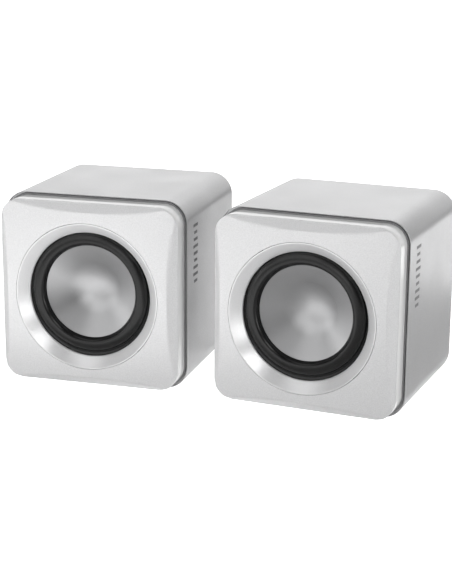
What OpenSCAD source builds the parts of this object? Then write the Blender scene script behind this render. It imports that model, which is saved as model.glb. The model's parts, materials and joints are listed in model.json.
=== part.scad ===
// Pair of small cube desktop speakers, 2-inch drivers, powered right unit and passive left unit.
// Each speaker is drawn facing -Y with its rear plane at y = 0 and its underside at z = 0,
// then set down at its place in the row. Millimetres, +Z up.

/* [Row] */
// Distance between the middles of the two rear planes
spacing = 89.4; // [80:0.2:200]
// Angle by which each speaker turns in towards the other
toe_in = 3.5; // [0:0.5:5]

/* [Cabinet] */
// Width of the cabinet
body_w = 70; // [70:0.5:74]
// Height of the cabinet without its feet
body_h = 70.3; // [70:0.1:74]
// Depth of the painted cabinet, from rear plane to front edge
body_d = 59.4; // [59:0.2:64]
// Radius of the four long edges
corner_r = 8.4; // [7:0.1:11]
// Radius of the rear edges
rear_round = 1.8; // [0.6:0.1:2]
// Wall thickness of the moulded parts
wall = 2.2; // [1.8:0.1:2.4]
// How far the rubber feet stand proud of the underside
foot_h = 0.8; // [0.5:0.1:2]

/* [Front] */
// Width of the glossy rim and of the front plate
rim_w = 67.4; // [66.8:0.1:67.6]
// Corner radius of the glossy rim
rim_r = 7.5; // [6:0.1:8]
// Depth of the glossy rim in front of the cabinet
rim_d = 7.2; // [6:0.1:8]
// Spherical radius of the domed front plate
dome_r = 220; // [180:5:300]
// Height of the dome above the front edge of the rim
dome_h = 5.2; // [4.8:0.1:6]
// Depth of each flat bevel at the middle of its side
bevel_drop = 3.05; // [2:0.05:3.2]
// Width of each flat bevel at the middle of its side
bevel_in = 3.1; // [2.5:0.05:3.4]

/* [Driver] */
// Outer radius of the trim ring
ring_r = 27.1; // [26.6:0.1:27.4]
// Inner radius of the trim ring
ring_in_r = 23.1; // [22.6:0.1:23.4]
// Radius where the cone meets the surround
cone_r = 17.2; // [16.5:0.1:18]
// Radius of the dust cap
cap_r = 9.6; // [8:0.1:10.4]
// Radius of the voice coil former
former_r = 6.6; // [6:0.1:7]
// How far the trim ring's axis lies below the middle of the cabinet
ring_drop = 0.2; // [0:0.1:0.5]
// How far the driver sits above the trim ring's axis
driver_lift = 0.9; // [0:0.1:1]

/* [Rear] */
// Radius of the 3.5 mm jack bores
jack_r = 1.8; // [1.77:0.01:1.85]
// Radius of the volume knob
knob_r = 6.5; // [5:0.5:7]
// Radius of the volume shaft
shaft_r = 2.4; // [2:0.1:3]

/* [Hidden] */
PER_SPEAKER = ["cabinet_shell", "rear_panel", "rear_screws", "feet", "side_mark", "accent_band",
  "front_bezel", "front_plate", "trim_ring", "front_screws", "driver_basket", "driver_gasket",
  "surround", "cone", "dust_cap", "spider", "coil_former", "voice_coil", "top_plate", "magnet",
  "yoke", "terminal_strip", "speaker_wires"];
POWERED_ONLY = ["amp_board", "board_screws", "amp_chip", "capacitors", "line_in_jack",
  "speaker_out_jack", "power_socket", "volume_pot", "pot_nut", "pot_shaft", "volume_knob"];
PASSIVE_ONLY = ["input_jack", "input_jack_nut"];
NODES = concat([for (side = ["right_", "left_"], part = PER_SPEAKER) str(side, part)],
  POWERED_ONLY, PASSIVE_ONLY);
node = "all";

RIGHT = 1;
LEFT = -1;
$fn = 64;
eps = 0.01;

// Distances forward of the rear plane
rim_front = body_d + rim_d;
dome_top = rim_front + dome_h;
ring_sink = 0.06;
ring_front = dome_top - ring_r * ring_r / (2 * dome_r) - ring_sink;
baffle_back = body_d + 2;
baffle_front = baffle_back + 2;
flange_front = baffle_front + 1.6;
land_front = flange_front + 0.4;
land_step = 0.12;
gasket_front = land_front + 0.5;
basket_base = flange_front - 16;
magnet_front = basket_base - 2.8;
magnet_back = magnet_front - 7.5;
yoke_back = magnet_back - 2.8;
spider_at = basket_base + 7;
neck_at = flange_front - 6.3;
coil_back = magnet_front - 1.6;

// Front of the cabinet
lip_t = 0.25;
band_gap = 0.45;
lip_d = 1.5;
gap = 0.3;
rim_h = rim_w + body_h - body_w;
rim_wall = 1.6;
band_w = body_w - 2 * lip_t - 2 * band_gap;
cavity_r = corner_r - wall;
front_boss = 27.5;
front_boss_r = 3;
flange_back = body_d - 7.4;
flange_t = 2;
flange_open = 57;
flange_r = 4;
bezel_open = 62;
bezel_open_r = 4.4;
baffle_boss_r = 2;

// Driver
driver_hole_r = 28.9;
ear_r = 2.6;
ear_t = 1.6;
basket_r = 26;
gasket_r = 24.9;
baffle_hole_r = 22.7;
window_w = 11;
window_h = 4.6;
roll_r = 20.9;
roll_lift = 1.95;
roll_t = 0.4;
land_r = 21.9;
cone_edge = cone_r + 0.6;
cone_bend = 0.86;
cone_t = 0.4;
cap_sag = 2.3;
cap_t = 0.3;
former_t = 0.15;
coil_t = 0.4;
spider_r = 18;
spider_wave = 0.5;
pole_r = former_r - 0.45;
plate_bore_r = former_r + 0.95;

// Rear panel
panel_w = 63;
panel_r = 6;
panel_t = 2.4;
panel_at = 0.4;
panel_in = panel_at + panel_t;
rear_boss = 25;
rear_boss_r = 3.4;
rear_boss_d = 9;
screw_sink = 1.2;
ledge_t = 2;
ledge_open = 56;
ledge_r = 5;
panel_head_r = 2.5;
panel_hole_r = 1.2;
blank_w = 34;
blank_h_less = 14;

// Fasteners
pilot_r = 0.75;
clear_r = 0.9;

// Feet, in recesses of the underside
foot_r = 4.5;
foot_recess_r = 4.6;
foot_sink = 0.6;
foot_x = 24;
foot_places_d = [11, 49];

// Raised mark of level bars on the outer right-hand face
mark_bars = 9;
mark_pitch = 2.6;
mark_bar_t = 1.1;
mark_d = body_d - 10;
mark_z = 38.4;
mark_sink = 0.1;
mark_proud = 0.04;

// Amplifier board, standing on four posts
board_z = 12.5;
board_t = 1.6;
board_top = board_z + board_t;
board_w = 52;
board_from = panel_in + 0.6;
board_to = 45;
tongue_w = 42.8;
tongue_to = 13;
post_x = 22;
post_r = 2.2;
post_ds = [18, 40];
post_foot = wall - 0.5;
jack_z = board_top + 2.9;
line_x = -18;
out_x = -7;
power_x = 5;
pot_x = 18;
pot_z = board_top + 5.2;
jack_bore = 13.3;
jack_body = 12;
nose_at = -0.3;
nose_r = 2.9;
hole_play = 0.1;
left_jack_z = 20;
left_nose_at = -2.2;
socket_w = 7.7;
socket_h = 4;
socket_t = 0.4;
nut_t = 2;
nut_at = -1.6;

// Volume control
bush_r = 3.4;
running = 0.05;
bush_back = -1.8;
knob_front = -2.4;
knob_back = -9.5;
knob_edge = 0.8;
knob_face = 1.6;
shaft_l = 14.4;

// The row is centred front to back on its own box
y_front = -ring_r * sin(toe_in) - (ring_front + ring_sink) * cos(toe_in);
y_rear = -(pot_x - knob_r + knob_edge) * sin(toe_in) - knob_back * cos(toe_in);
row_y = -(y_front + y_rear) / 2;

// ---------- frames and shapes ----------

// Sets a speaker down at its place in the row
module place(side)
  translate([side * spacing / 2, row_y, foot_h]) rotate([0, 0, -side * toe_in]) children();

// Upright plane at distance d in front of the rear plane: drawn X is X, drawn Y is up,
// drawn Z points forward
module face(d = 0) translate([0, -d, body_h / 2]) rotate([90, 0, 0]) children();

// The same plane, centred on the trim ring
module on_ring(d = 0) face(d) translate([0, -ring_drop, 0]) children();

// The same plane, centred on the driver
module on_axis(d = 0) on_ring(d) translate([0, driver_lift, 0]) children();

// The same plane, with drawn Y measured up from the underside
module from_floor(d = 0) face(d) translate([0, -body_h / 2, 0]) children();

// Corners of a rounded rectangle, each corner an arc
function arc(cx, cy, r, from, n = 12) =
  [for (i = [0:n]) [cx + r * cos(from + 90 * i / n), cy + r * sin(from + 90 * i / n)]];
function rounded(w, h, r) = concat(
  arc(w / 2 - r, h / 2 - r, r, 0), arc(r - w / 2, h / 2 - r, r, 90),
  arc(r - w / 2, r - h / 2, r, 180), arc(w / 2 - r, r - h / 2, r, 270));

// Rounded rectangular slab from distance d0 to d1; extra is the height beyond the width
module slab(w, r, d0, d1, extra = body_h - body_w)
  face(d0) linear_extrude(d1 - d0) polygon(rounded(w, w + extra, r));

// Ring or disc of rotation about the driver's axis, from points [radius, distance forward]
module profile_turned(points) rotate_extrude($fn = 96) polygon(points);
module turned(points) on_axis() profile_turned(points);
module tube(r0, r1, d0, d1) turned([[r0, d0], [r1, d0], [r1, d1], [r0, d1]]);

// Four places at the corners of a square, about the middle of the face
module at_corners(half) for (x = [-half, half], y = [-half, half]) translate([x, y, 0]) children();

// Pan-head screw, head towards +Z, bearing face at z = 0
module screw(length, head_r = 1.7, head_t = 1.1) {
  difference() {
    cylinder(r = head_r, h = head_t, $fn = 32);
    for (a = [0, 90])
      translate([0, 0, head_t]) rotate([0, 0, a]) cube([head_r * 1.3, 0.35, head_t], center = true);
  }
  translate([0, 0, -length]) cylinder(r = pilot_r, h = length + eps, $fn = 24);
}

// Insulated wire along a cubic curve with the end points p[0] and p[3]
function curve(p, t) = pow(1 - t, 3) * p[0] + 3 * t * pow(1 - t, 2) * p[1]
  + 3 * t * t * (1 - t) * p[2] + pow(t, 3) * p[3];
function unit(v) = v / norm(v);
module wire(p, r, rings = 14, sides = 8) {
  route = [for (i = [0:rings - 1]) curve(p, i / (rings - 1))];
  points = [for (i = [0:rings - 1])
    let (t = unit(route[min(i + 1, rings - 1)] - route[max(i - 1, 0)]),
         u = unit(cross(t, [1, 0.01, 0])), v = cross(t, u))
    for (k = [0:sides - 1]) route[i] + r * (cos(360 * k / sides) * u + sin(360 * k / sides) * v)];
  walls = [for (i = [0:rings - 2], k = [0:sides - 1])
    let (a = i * sides + k, b = i * sides + (k + 1) % sides) [a, a + sides, b + sides, b]];
  polyhedron(points,
    concat(walls, [[for (k = [0:sides - 1]) k]],
      [[for (k = [sides - 1:-1:0]) (rings - 1) * sides + k]]));
}

// ---------- cabinet ----------

// Outer form of the cabinet, with rounded rear edges
module cabinet_form()
  hull() {
    slab(body_w, corner_r, rear_round, body_d);
    for (a = [22.5:22.5:90]) let (inset = rear_round * (1 - cos(a)))
      slab(body_w - 2 * inset, corner_r - inset, rear_round * (1 - sin(a)), rear_round + 1);
  }

module cabinet_shell() {
  color("gainsboro") difference() {
    union() {
      difference() {
        cabinet_form();
        slab(body_w - 2 * wall, cavity_r, panel_in + ledge_t, body_d + 1);
        slab(body_w - 2 * lip_t, corner_r - lip_t, body_d - lip_d, body_d + 1);
        slab(panel_w + 2 * gap, panel_r + gap, -1, panel_in);
        slab(ledge_open, ledge_r, 0, panel_in + ledge_t + 1);
      }
      // flange that the front bezel is screwed to
      difference() {
        slab(body_w - wall, cavity_r + wall / 2, flange_back, flange_back + flange_t);
        slab(flange_open, flange_r, flange_back - 1, body_d);
      }
      face(flange_back) at_corners(front_boss) cylinder(r = front_boss_r, h = flange_t);
      face(panel_in) at_corners(rear_boss) cylinder(r = rear_boss_r, h = rear_boss_d);
    }
    face(flange_back - 1) at_corners(front_boss) cylinder(r = clear_r, h = flange_t + 2, $fn = 24);
    face(0) at_corners(rear_boss) cylinder(r = pilot_r, h = rear_boss_d + 1, $fn = 24);
    foot_places(0) cylinder(r = foot_recess_r, h = foot_sink);
  }
}

// Places of the four feet at height z
module foot_places(z) for (x = [-foot_x, foot_x], d = foot_places_d) translate([x, -d, z]) children();

module feet() color("dimgray") foot_places(-foot_h) cylinder(r = foot_r, h = foot_h + foot_sink);

// Posts under the amplifier board, one piece with the cabinet
module at_posts(z) for (x = [-post_x, post_x], d = post_ds) translate([x, -d, z]) children();

module board_posts() difference() {
  at_posts(post_foot) cylinder(r = post_r, h = board_z - post_foot);
  at_posts(board_z - 6) cylinder(r = pilot_r, h = 7, $fn = 24);
}

// Length of each level bar
function bar_length(i) = 3.2 + 2.4 * abs(sin(50 * i + 20));

module side_mark()
  color("gray") for (i = [0:mark_bars - 1])
    translate([body_w / 2 - mark_sink, -mark_d - bar_length(i) / 2, mark_z + mark_pitch * i])
      cube([mark_sink + mark_proud, bar_length(i), mark_bar_t]);

// ---------- rear panel ----------

module panel_blank() color("darkgray") difference() {
  slab(panel_w, panel_r, panel_at, panel_in);
  face(panel_at - eps) at_corners(rear_boss) {
    cylinder(r = panel_head_r, h = screw_sink + eps, $fn = 32);
    cylinder(r = panel_hole_r, h = 5, $fn = 24);
  }
  // shallow blank field in the middle, wider than high
  slab(blank_w, 2, panel_at - 1, panel_at + 0.3, -blank_h_less);
}

module rear_panel_right() difference() {
  panel_blank();
  from_floor(-1) {
    for (x = [line_x, out_x]) translate([x, jack_z, 0]) cylinder(r = nose_r + hole_play, h = 6);
    translate([pot_x, pot_z, 0]) cylinder(r = bush_r + hole_play, h = 6);
    translate([power_x - socket_w / 2 - 0.25, board_top - 0.2, 0]) cube([socket_w + 0.5, socket_h + 0.4, 6]);
  }
}

module rear_panel_left() difference() {
  panel_blank();
  from_floor(-1) translate([0, left_jack_z, 0]) cylinder(r = nose_r + hole_play, h = 6);
}

module rear_screws()
  color("dimgray") face(panel_at + screw_sink) at_corners(rear_boss) mirror([0, 0, 1]) screw(7.5, 2.3, 1.1);

// ---------- front ----------

// Mid-grey ring in the step between cabinet and rim
module accent_band() color("gray") difference() {
  slab(band_w, rim_r + (band_w - rim_w) / 2, body_d - lip_d, body_d - gap);
  slab(rim_w + 0.02, rim_r, body_d - lip_d - 1, body_d + 1);
}

module front_bezel() color("white") difference() {
  union() {
    difference() {
      union() {
        slab(rim_w, rim_r, body_d - lip_d, rim_front);
        slab(body_w - 2 * wall - 0.4, cavity_r - 0.2, body_d - 3.4, body_d - lip_d + eps);
      }
      slab(rim_w - 2 * rim_wall, rim_r - rim_wall, baffle_front, rim_front + 1);
      slab(bezel_open, bezel_open_r, body_d - 4, baffle_back);
    }
    face(flange_back + flange_t) at_corners(front_boss)
      cylinder(r = front_boss_r - 0.4, h = baffle_back - flange_back - flange_t + eps);
    on_axis(baffle_back - 2.6) at_corners(driver_hole_r / sqrt(2)) cylinder(r = baffle_boss_r, h = 3);
  }
  on_axis(baffle_back - 1) cylinder(r = baffle_hole_r, h = 5, $fn = 96);
  face(flange_back + 1) at_corners(front_boss) cylinder(r = pilot_r, h = 7.4, $fn = 24);
  on_axis(baffle_back - 2) at_corners(driver_hole_r / sqrt(2)) cylinder(r = pilot_r, h = 6, $fn = 24);
}

// Solid under a sphere whose top is at distance d
module under_dome(d, r) on_ring(d - r) sphere(r = r, $fn = 200);

// Everything outside the flat bevel on each side of the plate
module bevels() {
  slope = atan(bevel_drop / bevel_in);
  for (a = [0:90:270]) {
    half = (a % 180 == 0 ? rim_w : rim_h) / 2;
    face(rim_front) rotate([0, 0, a]) translate([half, 0, 0]) rotate([0, slope, 0])
      translate([-10, -50, 0]) cube([30, 100, 12]);
  }
}

module front_plate() color("silver") difference() {
  intersection() {
    union() {
      slab(rim_w, rim_r, rim_front, dome_top + 1);
      slab(rim_w - 2 * rim_wall - 0.4, rim_r - rim_wall - 0.2, rim_front - 2.4, rim_front + eps);
    }
    under_dome(dome_top, dome_r);
  }
  bevels();
  difference() {
    intersection() {
      slab(rim_w - 5.6, rim_r - 2.8, rim_front - 3, dome_top);
      under_dome(dome_top - 1.7, dome_r - 1.7);
    }
    on_ring(rim_front) cylinder(r = ring_r + 1.3, h = 10, $fn = 96);
  }
  on_ring(rim_front - 5) cylinder(r = ring_r, h = 20, $fn = 96);
}

module trim_ring() color("lightgray") on_ring() profile_turned([
  [ring_in_r, gasket_front], [ring_r - 0.1, gasket_front], [ring_r - 0.1, ring_front],
  [ring_r - 0.35, ring_front], [ring_in_r, ring_front - 3.65]]);

// Eight identical screws: four hold the driver, four hold the bezel
module front_screws() color("dimgray") {
  on_axis(flange_front) at_corners(driver_hole_r / sqrt(2)) screw(4.4, 1.7, 0.8);
  face(flange_back) at_corners(front_boss) mirror([0, 0, 1]) screw(6.4);
}

// ---------- driver ----------

module driver_gasket() color("dimgray") on_ring(land_front - land_step) difference() {
  cylinder(r = gasket_r, h = gasket_front - land_front + land_step, $fn = 96);
  translate([0, 0, -1]) cylinder(r = ring_in_r - 0.1, h = 4, $fn = 96);
}

module driver_basket() color("darkgray") difference() {
  union() {
    turned([[20.6, flange_front], [basket_r, flange_front], [basket_r, baffle_front],
      [22.3, baffle_front], [22.3, baffle_front - 1.4], [16.6, basket_base + 1.6], [16.6, basket_base],
      [plate_bore_r + 0.3, basket_base], [plate_bore_r + 0.3, basket_base + 1.2],
      [15.2, basket_base + 1.2], [15.2, basket_base + 2], [17.2, spider_at - 1.4],
      [15.6, spider_at - 1], [15.6, spider_at], [18.1, spider_at], [20.6, baffle_front - 1.6]]);
    on_axis(baffle_front) at_corners(driver_hole_r / sqrt(2)) cylinder(r = ear_r, h = ear_t);
    for (a = [45:90:315]) on_axis(baffle_front) rotate([0, 0, a]) translate([24, -ear_r, 0])
      cube([driver_hole_r - 24, 2 * ear_r, ear_t]);
    on_axis(basket_base) translate([-5, 14, 0]) cube([10, 5, 1.2]);
  }
  on_axis(baffle_front - 1) at_corners(driver_hole_r / sqrt(2)) cylinder(r = clear_r, h = 4, $fn = 24);
  // windows
  for (a = [45:90:315]) on_axis(spider_at + 0.8) rotate([0, 0, a]) translate([10, -window_w / 2, 0])
    cube([20, window_w, window_h]);
}

// Points of a half roll from radius r0 to r1
function half_roll(r0, r1, base, lift, n = 14) =
  [for (i = [0:n]) [(r0 + r1) / 2 - (r1 - r0) / 2 * cos(180 * i / n), base + lift * sin(180 * i / n)]];

// Rubber half roll with a stepped land outside and a glue edge on the cone inside
module surround() color("black") turned(concat(
  [[cone_r, flange_front + 0.35]],
  half_roll(cone_r + 0.3, roll_r, flange_front + 0.35, roll_lift),
  [[land_r, land_front], [land_r, land_front - land_step], [basket_r - 0.1, land_front - land_step],
   [basket_r - 0.1, flange_front], [roll_r, flange_front]],
  [for (p = half_roll(roll_t - roll_r, -cone_edge - 0.1, flange_front, roll_lift - roll_t)) [-p[0], p[1]]],
  [[cone_r, flange_front + 0.05]]));

// Concave paper cone, steeper at the neck than at its edge
function cone_at(r) =
  neck_at + (flange_front - neck_at - 0.05) * pow((r - former_r) / (cone_edge - former_r), cone_bend);
cone_steps = [for (i = [0:12]) former_r + running + (cone_edge - former_r - running) * i / 12];
module cone() color("silver") turned(concat(
  [for (r = cone_steps) [r, cone_at(r)]],
  [for (i = [12:-1:0]) [cone_steps[i], cone_at(cone_steps[i]) - cone_t]]));

// Hollow cap that carries the cone's slope on to a flat middle
function cap_at(r) = cone_at(cap_r) + 0.02 - cap_sag * (1 - pow(r / cap_r, 2));
module dust_cap() color("silver") turned(concat(
  [for (i = [0:8]) [cap_r * i / 8, cap_at(cap_r * i / 8) + cap_t]],
  [for (i = [8:-1:0]) [cap_r * i / 8, cap_at(cap_r * i / 8)]]));

module coil_former() color("peru") tube(former_r - former_t, former_r, coil_back, neck_at + 0.2);

module voice_coil() color("orange") tube(former_r, former_r + coil_t, coil_back, basket_base + 1.4);

// Corrugated suspension with a flat glue land outside
module spider() color("goldenrod") {
  steps = 32;
  inner = former_r + running;
  waves = [for (i = [0:steps]) [inner + (spider_r - inner) * i / steps,
    spider_at + (i < steps - 3 ? spider_wave * abs(sin(22.5 * i)) : 0)]];
  turned(concat([for (w = waves) [w[0], w[1] + 0.3]],
    [for (i = [steps:-1:0]) [waves[i][0], waves[i][1] + 0.02]]));
}

module top_plate() color("silver") tube(plate_bore_r, 14, magnet_front, basket_base);
module magnet() color("dimgray") tube(plate_bore_r + 1, 15.5, magnet_back, magnet_front);
module yoke() color("silver") turned([
  [0, yoke_back], [14, yoke_back], [14, magnet_back], [pole_r, magnet_back],
  [pole_r, basket_base + 0.4], [0, basket_base + 0.4]]);

module terminal_strip() {
  color("saddlebrown") on_axis(basket_base - 1) translate([-6, 15.9, 0]) cube([12, 6, 1]);
  color("gold") for (x = [-4.4, 2.8]) on_axis(basket_base - 2) translate([x, 18, 0]) cube([1.6, 3, 1 + eps]);
}

// Two wires from the driver's terminals to the place given, ends is [x, distance, height]
module driver_wires(ends, colours) {
  for (i = [0, 1]) let (
      start = [i * 7.2 - 3.6, -(basket_base - 2), body_h / 2 - ring_drop + driver_lift + 19.5],
      stop = ends[i])
    color(colours[i])
      wire([start, start + [0, 18, 3], stop + [0, -4, 16], stop], 0.55);
}

// ---------- powered unit ----------

// Board with a narrower rear tongue that passes between the rear screw bosses
module amp_board() color("seagreen") difference() {
  union() {
    translate([-board_w / 2, -board_to, board_z]) cube([board_w, board_to - tongue_to, board_t]);
    translate([-tongue_w / 2, -tongue_to - 1, board_z]) cube([tongue_w, tongue_to + 1 - board_from, board_t]);
  }
  at_posts(board_z - 1) cylinder(r = clear_r + 0.1, h = 4, $fn = 24);
}

module board_screws() color("dimgray") at_posts(board_top) screw(5.5);

module amp_chip() {
  color("black") translate([-8, -33, board_top + 0.2]) cube([10, 6, 1.6]);
  color("silver") for (i = [0:7], s = [-1, 1])
    translate([-7.4 + 1.2 * i, -30 + s * 3.4 - 0.45, board_top]) cube([0.4, 0.9, 0.7]);
}

// Three electrolytic cans, each [x, distance, radius, height]
module capacitors() for (p = [[9, 24, 3.2, 7], [16, 26, 3.2, 7], [9, 32, 2.5, 5]])
  color("slategray") translate([p[0], -p[1], board_top]) difference() {
    cylinder(r = p[2], h = p[3]);
    translate([0, 0, 0.9]) rotate_extrude() translate([p[2] + 0.25, 0]) circle(r = 0.45, $fn = 24);
  }

// Jack drawn on the face plane: body ahead of the panel, round nose through it
module jack(w, h, below) difference() {
  union() {
    translate([-w / 2, -below, panel_in + running]) cube([w, h, jack_body]);
    translate([0, 0, nose_at]) cylinder(r = nose_r, h = panel_in + 0.1 - nose_at + eps);
  }
  translate([0, 0, nose_at - eps]) cylinder(r = jack_r, h = jack_bore + eps);
}

module line_in_jack() color("lightgreen") from_floor() translate([line_x, jack_z, 0]) jack(6.6, 5.8, 2.9);
module speaker_out_jack() color("black") from_floor() translate([out_x, jack_z, 0]) jack(6.6, 5.8, 2.9);

module input_jack() color("black") from_floor() translate([0, left_jack_z, 0]) union() {
  jack(8, 8, 4);
  translate([0, 0, left_nose_at]) difference() {
    cylinder(r = nose_r, h = nose_at - left_nose_at + eps);
    translate([0, 0, -1]) cylinder(r = jack_r, h = 4);
  }
}

module input_jack_nut() color("silver") from_floor() translate([0, left_jack_z, nut_at]) difference() {
  cylinder(r = 4.4, h = nut_t, $fn = 6);
  translate([0, 0, -1]) cylinder(r = nose_r, h = 4);
}

// Five-pin mini socket: drawn metal shell with a moulded tongue
module power_socket() from_floor() translate([power_x, board_top, 0]) {
  color("silver") difference() {
    translate([-socket_w / 2, 0, 0]) cube([socket_w, socket_h, 9.2]);
    translate([-socket_w / 2 + socket_t, socket_t, -1])
      cube([socket_w - 2 * socket_t, socket_h - 2 * socket_t, 8]);
  }
  color("black") translate([-2.4, 1.7, 1]) cube([4.8, 0.9, 7]);
}

module volume_pot() color("slategray") from_floor() translate([pot_x, pot_z, 0]) difference() {
  union() {
    translate([-5, board_top - pot_z, panel_in + running]) cube([10, 10.2, 6.4]);
    translate([0, 0, bush_back]) cylinder(r = bush_r, h = panel_in - bush_back + 0.1);
  }
  translate([0, 0, bush_back - 1]) cylinder(r = shaft_r + running, h = 9.5);
}

module pot_nut() color("silver") from_floor() translate([pot_x, pot_z, nut_at]) difference() {
  cylinder(r = 5, h = nut_t, $fn = 6);
  translate([0, 0, -1]) cylinder(r = bush_r, h = 4);
}

module pot_shaft() color("lightgray") from_floor() translate([pot_x, pot_z, knob_back + knob_face])
  cylinder(r = shaft_r, h = shaft_l);

module volume_knob() color("darkgray") from_floor() translate([pot_x, pot_z, 0]) difference() {
  translate([0, 0, knob_back]) rotate_extrude() polygon([[0, 0], [knob_r - knob_edge, 0],
    [knob_r, knob_edge], [knob_r, knob_front - knob_back], [0, knob_front - knob_back]]);
  translate([0, 0, knob_back + knob_face]) cylinder(r = shaft_r, h = 20);
  for (a = [0:20:340]) rotate([0, 0, a]) translate([knob_r + 0.25, 0, knob_back - 1])
    cylinder(r = 0.55, h = 20, $fn = 16);
  // pointer groove
  translate([-0.35, 2.6, knob_back - 1]) cube([0.7, 2.8, 1.4]);
}

// ---------- nodes ----------

// The powered unit's cabinet also carries the posts of the board
module right_shell() difference() {
  union() {
    cabinet_shell();
    color("gainsboro") board_posts();
  }
  side_mark();
}

module left_shell() difference() {
  cabinet_shell();
  side_mark();
}

module right_wires() driver_wires(
  [for (x = [-20, -17]) [x, -24, board_top + 0.2]], ["red", "black"]);

module left_wires() driver_wires(
  [for (x = [-2, 2]) [x, -panel_in - jack_body - 0.8, left_jack_z + 1]], ["red", "black"]);

// Whether a node is to be drawn
function shown(name) = node == "all" || node == name;

// Parts that both speakers have
module shared(prefix, side) place(side) {
  if (shown(str(prefix, "rear_screws"))) rear_screws();
  if (shown(str(prefix, "feet"))) feet();
  if (shown(str(prefix, "side_mark"))) side_mark();
  if (shown(str(prefix, "accent_band"))) accent_band();
  if (shown(str(prefix, "front_bezel"))) front_bezel();
  if (shown(str(prefix, "front_plate"))) front_plate();
  if (shown(str(prefix, "trim_ring"))) trim_ring();
  if (shown(str(prefix, "front_screws"))) front_screws();
  if (shown(str(prefix, "driver_basket"))) driver_basket();
  if (shown(str(prefix, "driver_gasket"))) driver_gasket();
  if (shown(str(prefix, "surround"))) surround();
  if (shown(str(prefix, "cone"))) cone();
  if (shown(str(prefix, "dust_cap"))) dust_cap();
  if (shown(str(prefix, "spider"))) spider();
  if (shown(str(prefix, "coil_former"))) coil_former();
  if (shown(str(prefix, "voice_coil"))) voice_coil();
  if (shown(str(prefix, "top_plate"))) top_plate();
  if (shown(str(prefix, "magnet"))) magnet();
  if (shown(str(prefix, "yoke"))) yoke();
  if (shown(str(prefix, "terminal_strip"))) terminal_strip();
}
shared("right_", RIGHT);
shared("left_", LEFT);

if (shown("right_cabinet_shell")) place(RIGHT) right_shell();
if (shown("right_rear_panel")) place(RIGHT) rear_panel_right();
if (shown("right_speaker_wires")) place(RIGHT) right_wires();
if (shown("amp_board")) place(RIGHT) amp_board();
if (shown("board_screws")) place(RIGHT) board_screws();
if (shown("amp_chip")) place(RIGHT) amp_chip();
if (shown("capacitors")) place(RIGHT) capacitors();
if (shown("line_in_jack")) place(RIGHT) line_in_jack();
if (shown("speaker_out_jack")) place(RIGHT) speaker_out_jack();
if (shown("power_socket")) place(RIGHT) power_socket();
if (shown("volume_pot")) place(RIGHT) volume_pot();
if (shown("pot_nut")) place(RIGHT) pot_nut();
if (shown("pot_shaft")) place(RIGHT) pot_shaft();
if (shown("volume_knob")) place(RIGHT) volume_knob();

if (shown("left_cabinet_shell")) place(LEFT) left_shell();
if (shown("left_rear_panel")) place(LEFT) rear_panel_left();
if (shown("left_speaker_wires")) place(LEFT) left_wires();
if (shown("input_jack")) place(LEFT) input_jack();
if (shown("input_jack_nut")) place(LEFT) input_jack_nut();
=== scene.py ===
"""Looks of a pair of small cube desktop speakers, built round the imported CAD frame.

Shapes are written in millimetres in each speaker's own frame: x to the right seen from the listener,
d forward of the rear plane, z up from the cabinet's underside. to_row() sets them into the row.
"""

import json
import math

import bmesh
import bpy
from mathutils import Matrix, Vector


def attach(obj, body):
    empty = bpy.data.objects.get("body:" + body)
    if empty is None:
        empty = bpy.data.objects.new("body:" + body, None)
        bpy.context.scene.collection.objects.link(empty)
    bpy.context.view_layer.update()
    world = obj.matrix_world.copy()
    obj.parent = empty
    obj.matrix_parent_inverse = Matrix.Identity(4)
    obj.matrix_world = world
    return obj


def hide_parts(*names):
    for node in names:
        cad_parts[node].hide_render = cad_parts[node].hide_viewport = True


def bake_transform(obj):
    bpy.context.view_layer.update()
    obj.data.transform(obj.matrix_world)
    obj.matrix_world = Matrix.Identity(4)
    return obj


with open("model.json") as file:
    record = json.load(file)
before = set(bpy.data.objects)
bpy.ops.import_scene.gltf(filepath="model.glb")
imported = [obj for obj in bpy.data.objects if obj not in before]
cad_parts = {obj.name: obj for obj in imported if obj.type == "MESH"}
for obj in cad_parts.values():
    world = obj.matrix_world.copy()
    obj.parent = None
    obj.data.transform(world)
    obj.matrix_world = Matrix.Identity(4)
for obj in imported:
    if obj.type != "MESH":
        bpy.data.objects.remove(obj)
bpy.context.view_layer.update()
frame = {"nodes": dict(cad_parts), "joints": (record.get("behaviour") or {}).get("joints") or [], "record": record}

MM = 0.001
SIDES = ("right", "left")

# Driving sizes of the looks, in millimetres, and shares that have no unit
CORNER_R = 8.4
REAR_ROUND = 1.8
EDGE = 0.22
WALL = 2.2
LIP = 0.25
PANEL_GAP = 0.3
REBATE_LEDGE = 3.8
REBATE_THICK = 2.0
RIM_R = 7.5
RIM_WALL = 1.6
BAFFLE_DEEP = 3.2
BAFFLE_THICK = 2.0
DRIVER_HOLE_R = 22.7
POCKET = 62.0
POCKET_R = 4.4
SPIGOT_GAP = 0.2
SPIGOT_SHORT = 2.0
PLATE_LIP = 1.8
PLATE_LIP_DEEP = 0.6
RING_GAP = 0.2
DOME_R = 220.0
BEVEL_SLOPE = 0.984
CREASE = 0.2
CREASE_STEP = 0.12
RING_IN_R = 23.1
ROLL_CREST_R = 19.0
ROLL_FOOT_R = 22.3
FLANK_BEND = 0.5
RUBBER_T = 0.35
CONE_BEND = 0.86
CONE_T = 0.4
CAP_T = 0.2
FOOT_R = 4.5


# ---------- the speakers' own frames ----------

def joint(name):
    return next(j for j in frame["joints"] if j["name"] == name)


def node_name(side, part):
    return f"{side}_{part}"


def reach(node, to_own):
    """Lowest and highest corner of a CAD node in a speaker's own frame, in millimetres."""
    points = [to_own @ v.co for v in frame["nodes"][node].data.vertices]
    low = [min(p[i] for p in points) / MM for i in range(3)]
    high = [max(p[i] for p in points) / MM for i in range(3)]
    return low, high


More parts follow.
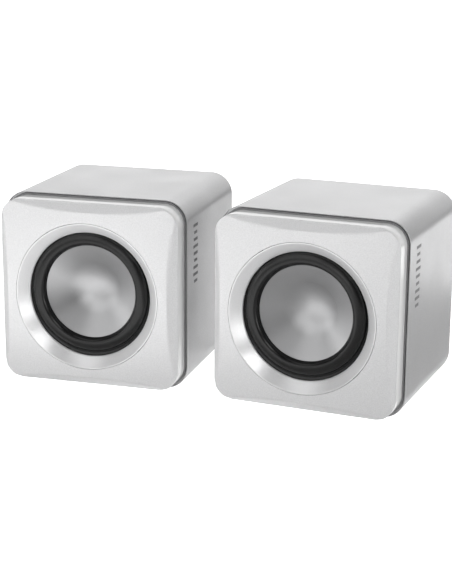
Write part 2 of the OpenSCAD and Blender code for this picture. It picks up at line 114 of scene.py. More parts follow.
class Speaker:
    """One speaker: its frame, and the sizes read from its CAD nodes."""

    def __init__(self, side):
        self.side = side
        self.body = f"{side}_speaker"
        self.cone_body = f"{side}_cone"
        forward = Vector(joint(f"{side}_cone_travel")["axis"])
        turn = Matrix.Rotation(math.atan2(forward.x, -forward.y), 4, "Z")
        low, high = reach(node_name(side, "cabinet_shell"), turn.inverted())
        origin = turn @ Vector(((low[0] + high[0]) / 2, high[1], low[2])) * MM
        self.matrix = Matrix.Translation(origin) @ turn
        self.cabinet = self.span("cabinet_shell")
        self.rim = self.span("front_bezel")
        self.plate = self.span("front_plate")
        self.ring = self.span("trim_ring")
        self.band = self.span("accent_band")
        self.surround = self.span("surround")
        self.cone = self.span("cone")
        self.cap = self.span("dust_cap")
        self.former = self.span("coil_former")
        self.spider = self.span("spider")
        self.panel = self.span("rear_panel")
        self.width = self.cabinet["width"]
        self.height = self.cabinet["height"]
        self.extra = self.height - self.width
        self.middle = self.height / 2
        self.ring_z = self.ring["middle_z"]
        self.driver_z = self.cone["middle_z"]

    def span(self, part):
        """Sizes of one of this speaker's CAD nodes; a round one's radius is half its width."""
        low, high = reach(node_name(self.side, part), self.matrix.inverted())
        return {
            "width": high[0] - low[0],
            "height": high[2] - low[2],
            "back": -high[1],
            "front": -low[1],
            "middle_z": (low[2] + high[2]) / 2,
            "radius": (high[0] - low[0]) / 2,
        }

    def to_row(self, point):
        """Place in the shared frame of a point in this speaker's frame."""
        x, d, z = point
        return self.matrix @ Vector((x * MM, -d * MM, z * MM))


# ---------- shapes ----------

def arc_points(cx, cy, r, start, end, steps):
    angles = [start + (end - start) / steps * i for i in range(steps + 1)]
    return [(cx + r * math.cos(a), cy + r * math.sin(a)) for a in angles]


def quads(first, second, count):
    """Faces between two loops of count points that begin at the two indices."""
    following = [(k + 1) % count for k in range(count)]
    return [(first + k, first + n, second + n, second + k) for k, n in enumerate(following)]


def outline(width, height, radius, corner_steps=20, side_steps=14):
    """Points round a rounded rectangle about (0, 0), the same number whatever its size."""
    half_w, half_h = width / 2 - radius, height / 2 - radius
    centres = [(half_w, half_h), (-half_w, half_h), (-half_w, -half_h), (half_w, -half_h)]
    corners = [
        arc_points(cx, cy, radius, math.pi / 2 * i, math.pi / 2 * (i + 1), corner_steps)
        for i, (cx, cy) in enumerate(centres)
    ]
    points = []
    for i, corner in enumerate(corners):
        points += corner
        (ax, ay), (bx, by) = corner[-1], corners[(i + 1) % 4][0]
        points += [
            (ax + (bx - ax) * k / side_steps, ay + (by - ay) * k / side_steps) for k in range(1, side_steps)
        ]
    return points


def fillet(profile, closed=True, steps=4):
    """Rounds the corners of a profile of (u, v, radius) points, and returns (u, v) points."""
    count = len(profile)
    rounded = []
    for i, (u, v, r) in enumerate(profile):
        at_end = not closed and i in (0, count - 1)
        here = Vector((u, v))
        if r <= 0 or at_end:
            rounded.append((u, v))
            continue
        before = Vector(profile[i - 1][:2]) - here
        after = Vector(profile[(i + 1) % count][:2]) - here
        half_angle = before.angle(after) / 2
        cut = min(r / math.tan(half_angle), before.length * 0.49, after.length * 0.49)
        start = here + before.normalized() * cut
        end = here + after.normalized() * cut
        for k in range(steps + 1):
            t = k / steps
            p = start * (1 - t) ** 2 + here * 2 * t * (1 - t) + end * t * t
            rounded.append((p.x, p.y))
    return rounded


def make_mesh(name, points, faces, sharp_deg=35):
    mesh = bpy.data.meshes.new(name)
    mesh.from_pydata([tuple(p) for p in points], [], faces)
    skin = bmesh.new()
    skin.from_mesh(mesh)
    bmesh.ops.recalc_face_normals(skin, faces=skin.faces)
    skin.to_mesh(mesh)
    skin.free()
    obj = bpy.data.objects.new(name, mesh)
    bpy.context.scene.collection.objects.link(obj)
    mesh.shade_smooth()
    mesh.set_sharp_from_angle(angle=math.radians(sharp_deg))
    return obj


def loft(name, speaker, rings, sharp_deg=35):
    """Closed skin through rings of (x, d, z) points, the last ring joined to the first."""
    count = len(rings[0])
    points = [speaker.to_row(p) for ring in rings for p in ring]
    faces = []
    for i in range(len(rings)):
        faces += quads(i * count, (i + 1) % len(rings) * count, count)
    return make_mesh(name, points, faces, sharp_deg)


def frame_ring(speaker, width, radius, d):
    """Ring of a rounded square about the middle of the cabinet's face, as much taller as the cabinet is."""
    return [(x, d, speaker.middle + z) for x, z in outline(width, width + speaker.extra, radius)]


def round_ring(speaker, radius, d, z):
    """Ring of a circle at height z, each point in line with one of frame_ring's."""
    ring = []
    for x, _, corner_z in frame_ring(speaker, speaker.width, CORNER_R, d):
        away = Vector((x, corner_z - z)).normalized() * radius
        ring.append((away.x, d, z + away.y))
    return ring


def square_loft(name, speaker, profile, outer_r, steps=4):
    """Closed skin from a profile of (inset from the cabinet's side, d, rounding)."""
    rings = [
        frame_ring(speaker, speaker.width - 2 * inset, max(outer_r - inset, 0.6), d)
        for inset, d in fillet(profile, steps=steps)
    ]
    return loft(name, speaker, rings)


def lathe(name, speaker, z, profile, segments=160, closed=True, sharp_deg=35):
    """Solid of rotation about the forward axis at height z, from (radius, d) points."""
    points, faces, rows = [], [], []
    for r, d in profile:
        if r < 1e-6:
            rows.append([len(points)] * segments)
            points.append(speaker.to_row((0, d, z)))
            continue
        rows.append(list(range(len(points), len(points) + segments)))
        for k in range(segments):
            a = 2 * math.pi * k / segments
            points.append(speaker.to_row((r * math.cos(a), d, z + r * math.sin(a))))
    last = len(rows) if closed else len(rows) - 1
    for i in range(last):
        low, high = rows[i], rows[(i + 1) % len(rows)]
        for k in range(segments):
            corners = [low[k], low[(k + 1) % segments], high[(k + 1) % segments], high[k]]
            corners = [c for n, c in enumerate(corners) if c not in corners[:n]]
            if len(corners) > 2:
                faces.append(corners)
    return make_mesh(name, points, faces, sharp_deg)


# ---------- materials ----------

class Shader:
    """A node material with short calls for the nodes that these finishes share."""

    def __init__(self, name, color, roughness, metallic=0.0, specular=0.5, coat=0.0, coat_rough=0.1):
        self.material = bpy.data.materials.new(name)
        self.material.use_nodes = True
        self.nodes = self.material.node_tree.nodes
        self.links = self.material.node_tree.links
        self.base = self.nodes["Principled BSDF"]
        self.base.inputs["Base Color"].default_value = (*color, 1)
        self.base.inputs["Roughness"].default_value = roughness
        self.base.inputs["Metallic"].default_value = metallic
        self.base.inputs["Specular IOR Level"].default_value = specular
        self.base.inputs["Coat Weight"].default_value = coat
        self.base.inputs["Coat Roughness"].default_value = coat_rough
        self.color = color
        self.roughness = roughness
        self.place = self.nodes.new("ShaderNodeTexCoord").outputs["Object"]

    def link(self, a, b):
        self.links.new(a, b)

    def noise(self, scale, detail=3.0, rough=0.55):
        """Noise over the piece; scale is in features a metre."""
        node = self.nodes.new("ShaderNodeTexNoise")
        node.inputs["Scale"].default_value = scale
        node.inputs["Detail"].default_value = detail
        node.inputs["Roughness"].default_value = rough
        self.link(self.place, node.inputs["Vector"])
        return node.outputs["Fac"]

    def cells(self, scale):
        node = self.nodes.new("ShaderNodeTexVoronoi")
        node.inputs["Scale"].default_value = scale
        self.link(self.place, node.inputs["Vector"])
        return node.outputs["Distance"]

    def remap(self, value, low, high, to_low, to_high):
        node = self.nodes.new("ShaderNodeMapRange")
        node.inputs["From Min"].default_value = low
        node.inputs["From Max"].default_value = high
        node.inputs["To Min"].default_value = to_low
        node.inputs["To Max"].default_value = to_high
        self.link(value, node.inputs["Value"])
        return node.outputs["Result"]

    def math(self, operation, a, b):
        node = self.nodes.new("ShaderNodeMath")
        node.operation = operation
        for i, value in enumerate((a, b)):
            if isinstance(value, (int, float)):
                node.inputs[i].default_value = value
            else:
                self.link(value, node.inputs[i])
        return node.outputs["Value"]

    def tint(self, value, low, high):
        """Base colour from low to high, as shares of the finish's colour, as value goes from 0 to 1."""
        node = self.nodes.new("ShaderNodeMix")
        node.data_type = "RGBA"
        node.inputs["A"].default_value = (*[min(c * low, 1) for c in self.color], 1)
        node.inputs["B"].default_value = (*[min(c * high, 1) for c in self.color], 1)
        self.link(value, node.inputs["Factor"])
        self.link(node.outputs["Result"], self.base.inputs["Base Color"])

    def gloss(self, value, spread):
        """Roughness that wanders by spread each way."""
        self.link(
            self.remap(value, 0.3, 0.7, self.roughness - spread, self.roughness + spread),
            self.base.inputs["Roughness"],
        )

    def bump(self, value, depth_mm):
        node = self.nodes.new("ShaderNodeBump")
        node.inputs["Distance"].default_value = depth_mm * MM
        node.inputs["Strength"].default_value = 1.0
        self.link(value, node.inputs["Height"])
        self.link(node.outputs["Normal"], self.base.inputs["Normal"])


def paint(name, color, roughness, metallic, flake, bump_mm=0.012):
    """Sprayed satin paint: fine flake in the colour, slight orange peel, roughness that wanders."""
    s = Shader(name, color, roughness, metallic)
    flakes = s.noise(2800, 2, 0.7)
    broad = s.noise(60, 3)
    s.tint(s.remap(flakes, 0.32, 0.68, 0, 1), 1 - flake, 1 + flake)
    s.gloss(broad, 0.03)
    s.bump(s.math("ADD", s.noise(1500, 2), s.math("MULTIPLY", flakes, 0.35)), bump_mm)
    return s.material


def plastic(name, color, roughness, grain_mm=0.03, grain_scale=2600, specular=0.5, coat=0.0, mottle=0.05):
    """Moulded plastic: spark-eroded grain, faint flow mottling."""
    s = Shader(name, color, roughness, 0, specular, coat, 0.06)
    s.tint(s.remap(s.noise(90, 3), 0.3, 0.7, 0, 1), 1 - mottle, 1 + mottle)
    s.gloss(s.noise(260, 2), 0.04)
    s.bump(s.noise(grain_scale, 2, 0.6), grain_mm)
    return s.material


def rubber(name, color, roughness, specular=0.5, grain_mm=0.02, dust=0.5):
    """Rubber or foam with dust in patches."""
    s = Shader(name, color, roughness, 0, specular)
    s.tint(s.remap(s.noise(420, 4), 0.45, 0.75, 0, 1), 0.95, 1 + dust)
    s.gloss(s.noise(180, 3), 0.1 * dust)
    s.bump(s.noise(3500, 2), grain_mm)
    return s.material


def metal(name, color, roughness, grain_mm=0.006):
    """Plated or turned metal: stains in the colour, fine grain."""
    s = Shader(name, color, roughness, 1.0)
    fine = s.noise(3000, 3)
    s.tint(s.remap(s.noise(300, 4), 0.3, 0.7, 0, 1), 0.85, 1.08)
    s.gloss(s.noise(500, 3), 0.08)
    s.bump(fine, grain_mm)
    return s.material


def cloth(name, color):
    """Resin-dipped weave of the spider."""
    s = Shader(name, color, 0.7, 0, 0.3)
    s.base.inputs["Sheen Weight"].default_value = 0.2
    weave = s.cells(2400)
    s.tint(s.remap(weave, 0, 0.6, 0, 1), 1.15, 0.55)
    s.bump(weave, 0.08)
    return s.material


def board_finish(name, color):
    """Solder mask with paler tracks under it."""
    s = Shader(name, color, 0.35, 0, 0.5, 0.3, 0.15)
    tracks = s.nodes.new("ShaderNodeTexBrick")
    tracks.inputs["Scale"].default_value = 260
    tracks.inputs["Mortar Size"].default_value = 0.12
    s.link(s.place, tracks.inputs["Vector"])
    s.tint(tracks.outputs["Fac"], 1.0, 1.7)
    s.bump(tracks.outputs["Fac"], 0.03)
    return s.material


def winding(name, color):
    """Fine turns of enamelled wire."""
    s = Shader(name, color, 0.3, 1.0)
    wave = s.nodes.new("ShaderNodeTexWave")
    wave.bands_direction = "Y"
    wave.inputs["Scale"].default_value = 900
    s.link(s.place, wave.inputs["Vector"])
    s.tint(wave.outputs["Fac"], 0.6, 1.1)
    s.bump(wave.outputs["Fac"], 0.06)
    return s.material


FINISHES = {
    "cabinet_paint": paint("cabinet_paint", (0.55, 0.55, 0.555), 0.36, 0.72, 0.09),
    "plate_satin": paint("plate_satin", (0.72, 0.72, 0.725), 0.46, 0.15, 0.07),
    "ring_satin": paint("ring_satin", (0.82, 0.82, 0.825), 0.33, 0.35, 0.02, bump_mm=0.004),
    "cone_paper": paint("cone_paper", (0.37, 0.37, 0.375), 0.38, 1.0, 0.02, bump_mm=0.003),
    "white_gloss": plastic("white_gloss", (0.90, 0.90, 0.90), 0.12, 0.002, 900, 0.5, 0.6, 0.01),
    "accent_plastic": plastic("accent_plastic", (0.22, 0.22, 0.225), 0.35, 0.01),
    "mark_print": plastic("mark_print", (0.20, 0.20, 0.205), 0.5, 0.01),
    "rear_plastic": plastic("rear_plastic", (0.075, 0.075, 0.08), 0.55, 0.05),
    "knob_plastic": plastic("knob_plastic", (0.05, 0.05, 0.053), 0.48, 0.03),
    "gasket_foam": rubber("gasket_foam", (0.02, 0.02, 0.02), 0.9, 0.2, 0.08),
    "surround_rubber": rubber("surround_rubber", (0.007, 0.007, 0.007), 0.25, 0.33, 0.0003, 0.08),
    "foot_rubber": rubber("foot_rubber", (0.03, 0.03, 0.03), 0.75, 0.3, 0.05),
    "wire_sleeve": rubber("wire_sleeve", (0.22, 0.02, 0.02), 0.4, 0.5, 0.01),
    "basket_steel": paint("basket_steel", (0.02, 0.02, 0.02), 0.4, 0.0, 0.2, bump_mm=0.02),
    "spider_cloth": cloth("spider_cloth", (0.42, 0.27, 0.08)),
    "former_film": plastic("former_film", (0.22, 0.10, 0.03), 0.25, 0.003),
    "coil_copper": winding("coil_copper", (0.62, 0.26, 0.10)),
    "zinc_steel": metal("zinc_steel", (0.55, 0.55, 0.56), 0.35, 0.012),
    "ferrite": paint("ferrite", (0.035, 0.035, 0.037), 0.6, 0.0, 0.3, bump_mm=0.04),
    "phenolic": plastic("phenolic", (0.12, 0.05, 0.02), 0.5, 0.03),
    "board_laminate": board_finish("board_laminate", (0.01, 0.09, 0.03)),
    "chip_plastic": plastic("chip_plastic", (0.015, 0.015, 0.015), 0.5, 0.03),
    "capacitor_sleeve": plastic("capacitor_sleeve", (0.012, 0.02, 0.06), 0.25, 0.004),
    "jack_green": plastic("jack_green", (0.10, 0.36, 0.07), 0.3, 0.008),
    "jack_black": plastic("jack_black", (0.02, 0.02, 0.02), 0.35, 0.01),
    "socket_steel": metal("socket_steel", (0.6, 0.6, 0.61), 0.28),
    "pot_body": metal("pot_body", (0.4, 0.4, 0.41), 0.4),
    "nut_steel": metal("nut_steel", (0.58, 0.57, 0.55), 0.3),
    "shaft_metal": metal("shaft_metal", (0.68, 0.68, 0.68), 0.28),
    "screw_steel": metal("screw_steel", (0.10, 0.10, 0.105), 0.38),
}
SLOT_OF = {row["node"]: row["material_slot"] for row in frame["record"]["subparts"]}


def finish_piece(obj, slot_name, body, stands_for):
    """Gives a new piece its material and, when a body is given, its body, and hides the CAD node that it stands
    for.
    """
    obj.data.materials.append(FINISHES[slot_name])
    if body:
        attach(obj, body)
    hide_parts(stands_for)


# ---------- cabinet and front ----------

def build_cabinet(s):
    """Moulded sleeve with a lip in front of the band and a rebate for the rear panel."""
    front = s.cabinet["front"]
    panel_front = s.panel["front"]
    panel_inset = (s.width - s.panel["width"]) / 2 - PANEL_GAP
    ledge = panel_inset + REBATE_LEDGE
    band_back = s.band["back"]
    profile = [
        (0, front, 0.12),
        (LIP, front, 0.1),
        (LIP, band_back, 0),
        (WALL, band_back, 0.2),
        (WALL, panel_front + REBATE_THICK, 0.5),
        (ledge, panel_front + REBATE_THICK, 0.2),
        (ledge, panel_front, 0),
        (panel_inset, panel_front, 0),
        (panel_inset, 0, 0.35),
        (0, 0, REAR_ROUND),
    ]
    obj = square_loft(f"{s.side}_cabinet", s, profile, CORNER_R, steps=7)
    finish_piece(obj, "cabinet_paint", s.body, node_name(s.side, "cabinet_shell"))


def build_band(s):
    """Grey ring in the step between the cabinet and the rim."""
    rim_inset = (s.width - s.rim["width"]) / 2
    inset_out = (s.width - s.band["width"]) / 2
    inset_in = rim_inset - 0.01
    profile = [
        (inset_in, s.band["back"], 0),
        (inset_in, s.band["front"], 0.08),
        (inset_out, s.band["front"], 0.2),
        (inset_out, s.band["back"], 0),
    ]
    obj = square_loft(f"{s.side}_accent_ring", s, profile, RIM_R + rim_inset)
    finish_piece(obj, "accent_plastic", s.body, node_name(s.side, "accent_band"))


def build_rim(s):
    """Glossy rim with its inner pocket, baffle and driver opening."""
    width, front, back = s.rim["width"], s.rim["front"], s.band["back"]
    baffle_front = front - BAFFLE_DEEP
    baffle_back = baffle_front - BAFFLE_THICK
    spigot_back = s.rim["back"] + SPIGOT_SHORT
    inner_width, inner_r = width - 2 * RIM_WALL, RIM_R - RIM_WALL
    spigot_width, spigot_r = s.width - 2 * (WALL + SPIGOT_GAP), CORNER_R - WALL - SPIGOT_GAP
    rings = [frame_ring(s, width, RIM_R, back)]
    edge_steps = 5
    for k in range(edge_steps + 1):
        a = math.pi / 2 * k / edge_steps
        inset = EDGE * (1 - math.cos(a))
        rings.append(frame_ring(s, width - 2 * inset, RIM_R - inset, front - EDGE * (1 - math.sin(a))))
    rings += [
        frame_ring(s, inner_width, inner_r, front),
        frame_ring(s, inner_width, inner_r, baffle_front),
        round_ring(s, DRIVER_HOLE_R, baffle_front, s.driver_z),
        round_ring(s, DRIVER_HOLE_R, baffle_back, s.driver_z),
        frame_ring(s, POCKET, POCKET_R, baffle_back),
        frame_ring(s, POCKET, POCKET_R, spigot_back),
        frame_ring(s, spigot_width, spigot_r, spigot_back),
        frame_ring(s, spigot_width, spigot_r, back),
    ]
    obj = loft(f"{s.side}_rim", s, rings)
    finish_piece(obj, "white_gloss", s.body, node_name(s.side, "front_bezel"))


def soft_min(a, b, k):
    """The lower of a and b, rounded where they are nearer to each other than k."""
    h = max(k - abs(a - b), 0) / k
    return min(a, b) - h * h * k / 4


def build_plate(s):
    """Domed plate with four flat bevels that meet the dome in soft creases."""
    width, rim_front = s.rim["width"], s.rim["front"]
    hole = s.ring["radius"] + RING_GAP
    sag = DOME_R - math.sqrt(DOME_R**2 - hole**2)
    dome_top = s.plate["front"] + sag
    half_w, half_h = width / 2, (width + s.extra) / 2

    def surface(x, z):
        away = math.hypot(x, z - s.ring_z)
        d = dome_top - (DOME_R - math.sqrt(DOME_R**2 - away**2))
        up = z - s.middle
        for gap in (half_w - x, half_w + x, half_h - up, half_h + up):
            bevel = rim_front + gap * BEVEL_SLOPE
            fall = min(max((d - bevel) / CREASE, 0), 1)
            d = soft_min(d, bevel - CREASE_STEP * fall, CREASE / 2)
        return d

    def at(share, drop=0.0):
        """Ring on the surface, from the outline at share 0 to the hole at share 1."""
        ring = []
        for (ox, _, oz), (cx, _, cz) in zip(edge, circle):
            x, z = ox + (cx - ox) * share, oz + (cz - oz) * share
            ring.append((x, max(surface(x, z) - drop, rim_front), z))
        return ring

    edge = frame_ring(s, width, RIM_R, rim_front)
    circle = round_ring(s, hole, rim_front, s.ring_z)
    steps = 52
    lip_back = rim_front - PLATE_LIP_DEEP
    lip_width, lip_r = width - 2 * PLATE_LIP, RIM_R - PLATE_LIP
    rings = [edge, at(0, EDGE), at(0.004, EDGE * 0.4), at(0.012)]
    rings += [at(0.012 + 0.98 * (k / steps)) for k in range(1, steps)]
    rings += [at(0.994), at(1.0, 0.1), [(x, lip_back, z) for x, _, z in circle]]
    rings.append(frame_ring(s, lip_width, lip_r, lip_back))
    rings.append(frame_ring(s, lip_width, lip_r, rim_front))
    obj = loft(f"{s.side}_front_plate_domed", s, rings, 50)
    finish_piece(obj, "plate_satin", s.body, node_name(s.side, "front_plate"))


def build_trim_ring(s):
    """Funnel round the driver, highest at its outer edge."""
    outer = s.ring["radius"]
    front, back = s.ring["front"], s.ring["back"]
    inner_height, flat = 0.55, 0.3
    profile = fillet([
        (RING_IN_R, back, 0),
        (outer, back, 0),
        (outer, front, 0.04),
        (outer - flat, front, 0.1),
        (RING_IN_R + 0.05, back + inner_height, 0.5),
    ])
    obj = lathe(f"{s.side}_funnel_ring", s, s.ring_z, profile, 200)
    finish_piece(obj, "ring_satin", s.body, node_name(s.side, "trim_ring"))


# ---------- driver ----------

def build_surround(s):
    """Rubber half roll from the cone's edge out to its outer land on the basket."""
    base = s.surround["back"]
    top = base + RUBBER_T
    rise = s.surround["front"] - top
    inner, foot_in = s.cone["radius"] - 0.6, s.cone["radius"] - 0.4
    outer = s.surround["radius"]
    profile = [(inner, base + 0.05), (inner, base + 0.28), (inner + 0.12, top + 0.01)]
    steps = 16
    for k in range(1, steps + 1):
        climb = math.sin(math.pi / 2 * k / steps) ** FLANK_BEND
        profile.append((foot_in + (ROLL_CREST_R - foot_in) * k / steps, top + rise * climb))
    flank, steps = ROLL_FOOT_R - ROLL_CREST_R, 12
    for k in range(1, steps + 1):
        a = math.pi / 2 * k / steps
        profile.append((ROLL_CREST_R + flank * math.sin(a), top + rise * math.cos(a)))
    ridges, ridge_height, steps = 2, 0.05, 16
    land_from = ROLL_FOOT_R + 0.1
    for k in range(steps + 1):
        t = k / steps
        ripple = ridge_height * math.sin(2 * math.pi * ridges * t)
        profile.append((land_from + (RING_IN_R - land_from) * t, top - 0.02 + ripple))
    hollow_from, hollow_to = ROLL_FOOT_R - 0.3, foot_in + 0.3
    profile += [(outer, base + 0.28), (outer, base), (hollow_from, base)]
    for k in range(1, steps):
        t = k / steps
        depth = (rise - RUBBER_T) * math.sin(math.pi * t)
        profile.append((hollow_from + (hollow_to - hollow_from) * t, base + depth))
    profile.append((hollow_to, base))
    obj = lathe(f"{s.side}_rubber_surround", s, s.driver_z, profile, 180, sharp_deg=60)
    finish_piece(obj, "surround_rubber", None, node_name(s.side, "surround"))
    follow_cone(obj, s)


def build_spider(s):
    """Corrugated damper from the coil former out to its flat land on the basket."""
    inner, outer = s.former["radius"] + 0.05, s.spider["radius"]
    low, swing = s.spider["back"], 0.5
    thick = s.spider["front"] - low - swing
    waves, steps, land_share = 4, 96, 0.9
    front = []
    for k in range(steps + 1):
        t = k / steps
        lift = swing * (0.5 - 0.5 * math.cos(2 * math.pi * waves * min(t / land_share, 1)))
        front.append((inner + (outer - inner) * t, low + thick + lift))
    back = [(r, d - thick) for r, d in reversed(front)]
    obj = lathe(f"{s.side}_damper", s, s.driver_z, front + back, 96, sharp_deg=60)
    finish_piece(obj, "spider_cloth", None, node_name(s.side, "spider"))
    follow_cone(obj, s)


def follow_cone(obj, s):
    """Bakes obj's placement into its mesh; start and end, on the driver's axis at the cone's back and front, are
    worked out but not used.
    """
    start = s.to_row((0, s.cone["back"], s.driver_z))
    end = s.to_row((0, s.cone["front"], s.driver_z))
    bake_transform(obj)


def bowl(s, r):
    """Depth of the concave cone at radius r."""
    neck_r, edge_r = s.former["radius"], s.cone["radius"]
    neck_d = s.cone["back"] + CONE_T
    t = max(r - neck_r, 0) / (edge_r - neck_r)
    return neck_d + (s.cone["front"] - neck_d) * t**CONE_BEND


def dish(s, r):
    """Depth of the seen face: a straight cone that runs on into the hollow cap."""
    cap_r = s.cap["radius"]
    foot = bowl(s, cap_r)
    slope = (s.cone["front"] - foot) / (s.cone["radius"] - cap_r)
    if r > cap_r:
        return foot + slope * (r - cap_r)
    return foot - slope * (cap_r**2 - r**2) / (2 * cap_r)


def build_cone(s):
    """Thin cone from the coil former to the surround."""
    first, last, cap_r = s.former["radius"] + 0.05, s.cone["radius"], s.cap["radius"]
    hidden = [first + (cap_r - first) * k / 10 for k in range(10)]
    seen = [cap_r + (last - cap_r) * k / 40 for k in range(41)]
    front = [(r, bowl(s, r)) for r in hidden] + [(r, dish(s, r)) for r in seen]
    back = [(r, d - 0.95 * CONE_T) for r, d in reversed(front)]
    obj = lathe(f"{s.side}_silver_cone", s, s.driver_z, front + back, 160, sharp_deg=50)
    finish_piece(obj, "cone_paper", s.cone_body, node_name(s.side, "cone"))


def build_cap(s):
    """Hollow dust cap that lies on the cone in a thin foot."""
    foot = s.cap["radius"] + 0.6
    radii = [foot * k / 40 for k in range(41)]
    front = [(r, dish(s, r) + 0.03) for r in radii]
    back = [(r, dish(s, r) - CAP_T * (1 - r / foot)) for r in reversed(radii)]
    obj = lathe(f"{s.side}_silver_cap", s, s.driver_z, front + back, 160, closed=False, sharp_deg=50)
    finish_piece(obj, "cone_paper", s.cone_body, node_name(s.side, "dust_cap"))


def build_feet(s):
    """Four round feet with a shallow hollow in their soles, all in one mesh."""
    node = node_name(s.side, "feet")
    low, high = reach(node, s.matrix.inverted())
    top, sole = high[2], low[2]
    hollow = sole + 0.25
    corners = [
        (0, top, 0),
        (FOOT_R, top, 0.1),
        (FOOT_R, sole, 0.35),
        (FOOT_R - 1.3, sole, 0.1),
        (FOOT_R - 1.6, hollow, 0.1),
        (0, hollow, 0),
    ]
    profile = [(max(r, 0.01), z) for r, z in fillet(corners, closed=False)]
    segments, last = 64, len(profile) - 1
    points, faces = [], []
    for x in (low[0] + FOOT_R, high[0] - FOOT_R):
        for d in (-low[1] - FOOT_R, -high[1] + FOOT_R):
            first = len(points)
            for r, z in profile:
                circle = arc_points(x, d, r, 0, 2 * math.pi, segments)[:segments]
                points += [s.to_row((px, pd, z)) for px, pd in circle]
            for i in range(last):
                faces += quads(first + i * segments, first + (i + 1) * segments, segments)
            faces.append([first + k for k in reversed(range(segments))])
            faces.append([first + last * segments + k for k in range(segments)])
    obj = make_mesh(f"{s.side}_rubber_feet", points, faces)
    finish_piece(obj, "foot_rubber", s.body, node)


# ---------- carried-over CAD nodes ----------

def soften(obj, width_mm):
    """Small roundings on a CAD node's edges, with its own mesh left as it is."""
    weld = obj.modifiers.new("weld", "WELD")
    weld.merge_threshold = 1e-6
    flat = obj.modifiers.new("flat", "DECIMATE")
    flat.decimate_type = "DISSOLVE"
    flat.angle_limit = math.radians(0.5)
    bevel = obj.modifiers.new("edges", "BEVEL")
    bevel.width = width_mm * MM
    bevel.segments = 2
    bevel.limit_method = "ANGLE"
    bevel.angle_limit = math.radians(40)
    bevel.use_clamp_overlap = True
    normals = obj.modifiers.new("normals", "WEIGHTED_NORMAL")
    normals.keep_sharp = False
    obj.data.shade_smooth()


SOFT_EDGES_MM = {
    "rear_panel": 0.12,
    "rear_screws": 0.08,
    "side_mark": 0.02,
    "volume_knob": 0.12,
    "pot_nut": 0.15,
    "input_jack_nut": 0.15,
}


def dress_cad_nodes():
    """Finishes and softened edges for the CAD nodes that are seen as they are."""
    for name, obj in frame["nodes"].items():
        obj.data.materials.clear()
        obj.data.materials.append(FINISHES[SLOT_OF[name]])
        for part, width in SOFT_EDGES_MM.items():
            if name.endswith(part):
                soften(obj, width)


# ---------- stage ----------

CAMERA_AT = Vector((0.1821, -0.5150, 0.1786))
CAMERA_HEADING = 19.52
CAMERA_DOWN = 15.02
CAMERA_ROLL = 0.39
CAMERA_LENS = 92.8


def add_camera():
    data = bpy.data.cameras.new("camera")
    data.lens = CAMERA_LENS
    data.sensor_width = 36
    data.clip_start = 0.01
    cam = bpy.data.objects.new("camera", data)
    bpy.context.scene.collection.objects.link(cam)
    turn = Matrix.Rotation(math.radians(CAMERA_HEADING), 4, "Z")
    tilt = Matrix.Rotation(math.radians(90 - CAMERA_DOWN), 4, "X")
    roll = Matrix.Rotation(math.radians(CAMERA_ROLL), 4, "Z")
    cam.matrix_world = Matrix.Translation(CAMERA_AT) @ turn @ tilt @ roll
    bpy.context.scene.camera = cam


def area_light(name, place, target, watts, size, size_y):
    data = bpy.data.lights.new(name, "AREA")
    data.shape = "RECTANGLE"
    data.size = size
    data.size_y = size_y
    data.energy = watts
    light = bpy.data.objects.new(name, data)
    light.location = place
    aim = Vector(target) - Vector(place)
    light.rotation_mode = "QUATERNION"
    light.rotation_quaternion = aim.to_track_quat("-Z", "Y")
    bpy.context.scene.collection.objects.link(light)


# Name, azimuth from the listener's side (+ to the right), elevation, distance, size and power
SOFTBOXES = (
    ("front_left", -32, 22, 1.2, 0.8, 3.1),
    ("high_left", -60, 70, 1.2, 0.8, 2.4),
    ("front", 0, 20, 1.2, 0.8, 1.5),
    ("high_right", 46, 38, 1.2, 0.35, 2.3),
    ("low_front", 0, 7, 1.0, 0.3, 0.5),
    ("low_left", -60, 7, 1.0, 0.3, 0.9),
    ("low_right", 62, 7, 1.0, 0.3, 1.3),
    ("low_side", 95, 14, 1.0, 0.35, 1.8),
    ("back_rim", 160, 55, 0.27, 0.15, 0.05),
)
# Name, middle, width, depth and brightness of the strongly lit parts of the table, seen from above
GLOWS = (
    ("glow_under", (0, 0), 0.17, 0.07, 0.6),
    ("glow_front_left", (-0.245, -0.19), 0.21, 0.22, 0.15),
    ("glow_front", (-0.145, -0.238), 0.33, 0.32, 1.35),
    ("glow_back", (0, 0.27), 0.17, 0.46, 0.6),
    ("glow_back_right", (0.36, 0.36), 0.5, 0.4, 1.0),
)
GLOW_Z = -0.002
BOUNCE_Z = -0.004
PALE = (0.93, 0.93, 0.93)
BACK_GLOW = 1.35
BACK_WAY = (-0.4, 0.917, 0)


def add_lights():
    aim = Vector((0, 0, 0.04))
    for name, azimuth, elevation, distance, size, watts in SOFTBOXES:
        a, e = math.radians(azimuth), math.radians(elevation)
        way = Vector((math.sin(a) * math.cos(e), -math.cos(a) * math.cos(e), math.sin(e)))
        area_light(name, aim + way * distance, aim, watts, size, size)
    for name, (x, y), width, depth, brightness in GLOWS:
        place = Vector((x, y, GLOW_Z))
        watts = math.pi * width * depth * brightness
        area_light(name, place, place + Vector((0, 0, 1)), watts, width, depth)


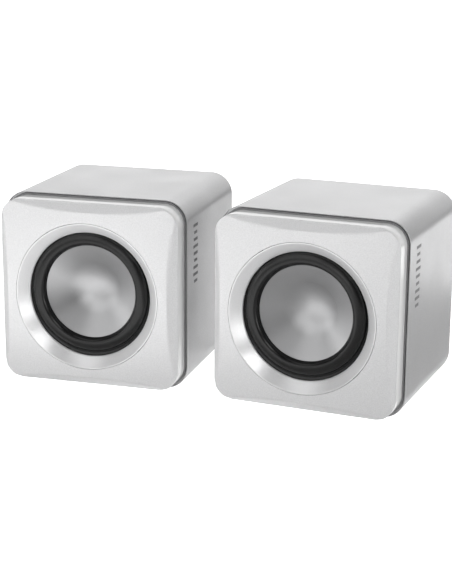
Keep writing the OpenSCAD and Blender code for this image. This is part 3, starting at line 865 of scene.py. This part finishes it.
def add_world():
    """White sweep behind the speakers that fades out towards the sides and the front."""
    world = bpy.data.worlds.new("studio")
    world.use_nodes = True
    nodes, links = world.node_tree.nodes, world.node_tree.links
    place = nodes.new("ShaderNodeTexCoord")
    along = nodes.new("ShaderNodeVectorMath")
    along.operation = "DOT_PRODUCT"
    along.inputs[1].default_value = BACK_WAY
    lobe = nodes.new("ShaderNodeMapRange")
    lobe.interpolation_type = "SMOOTHSTEP"
    lobe.inputs["From Min"].default_value = 0.25
    lobe.inputs["To Max"].default_value = BACK_GLOW
    links.new(place.outputs["Generated"], along.inputs[0])
    links.new(along.outputs["Value"], lobe.inputs["Value"])
    nodes["Background"].inputs["Color"].default_value = (1, 1, 1, 1)
    links.new(lobe.outputs["Result"], nodes["Background"].inputs["Strength"])
    bpy.context.scene.world = world


def stage_piece(name, form, half, z, glow):
    """Flat square or surrounding ball of the stage, its half side or radius in metres."""
    mesh = bpy.data.meshes.new(name)
    skin = bmesh.new()
    if form == "plane":
        bmesh.ops.create_grid(skin, x_segments=1, y_segments=1, size=half)
    else:
        bmesh.ops.create_icosphere(skin, subdivisions=3, radius=half)
    skin.to_mesh(mesh)
    skin.free()
    piece = bpy.data.objects.new(name, mesh)
    piece.location.z = z
    bpy.context.scene.collection.objects.link(piece)
    s = Shader(name, PALE, 0.6, 0, 0.2)
    s.tint(s.noise(3), 0.995, 1.0)
    s.base.inputs["Emission Color"].default_value = (1, 1, 1, 1)
    s.base.inputs["Emission Strength"].default_value = glow
    mesh.materials.append(s.material)
    return piece


def add_stage():
    """White table top and backdrop as they are seen, over the plain table that bounces the light."""
    for name, form, half in (("floor", "plane", 6), ("backdrop", "ball", 5)):
        seen = stage_piece(name, form, half, 0, 1.0)
        seen.visible_diffuse = False
        seen.visible_glossy = False
        seen.visible_shadow = False
    bounce = stage_piece("bounce", "plane", 6, BOUNCE_Z, 0.0)
    bounce.visible_camera = False


def build_speaker(side):
    """All new pieces of one speaker."""
    s = Speaker(side)
    build_cabinet(s)
    build_band(s)
    build_rim(s)
    build_plate(s)
    build_trim_ring(s)
    build_surround(s)
    build_spider(s)
    build_cone(s)
    build_cap(s)
    build_feet(s)


bpy.context.scene.view_settings.view_transform = "Standard"
add_camera()
add_lights()
add_world()
add_stage()
dress_cad_nodes()
for speaker_side in SIDES:
    build_speaker(speaker_side)
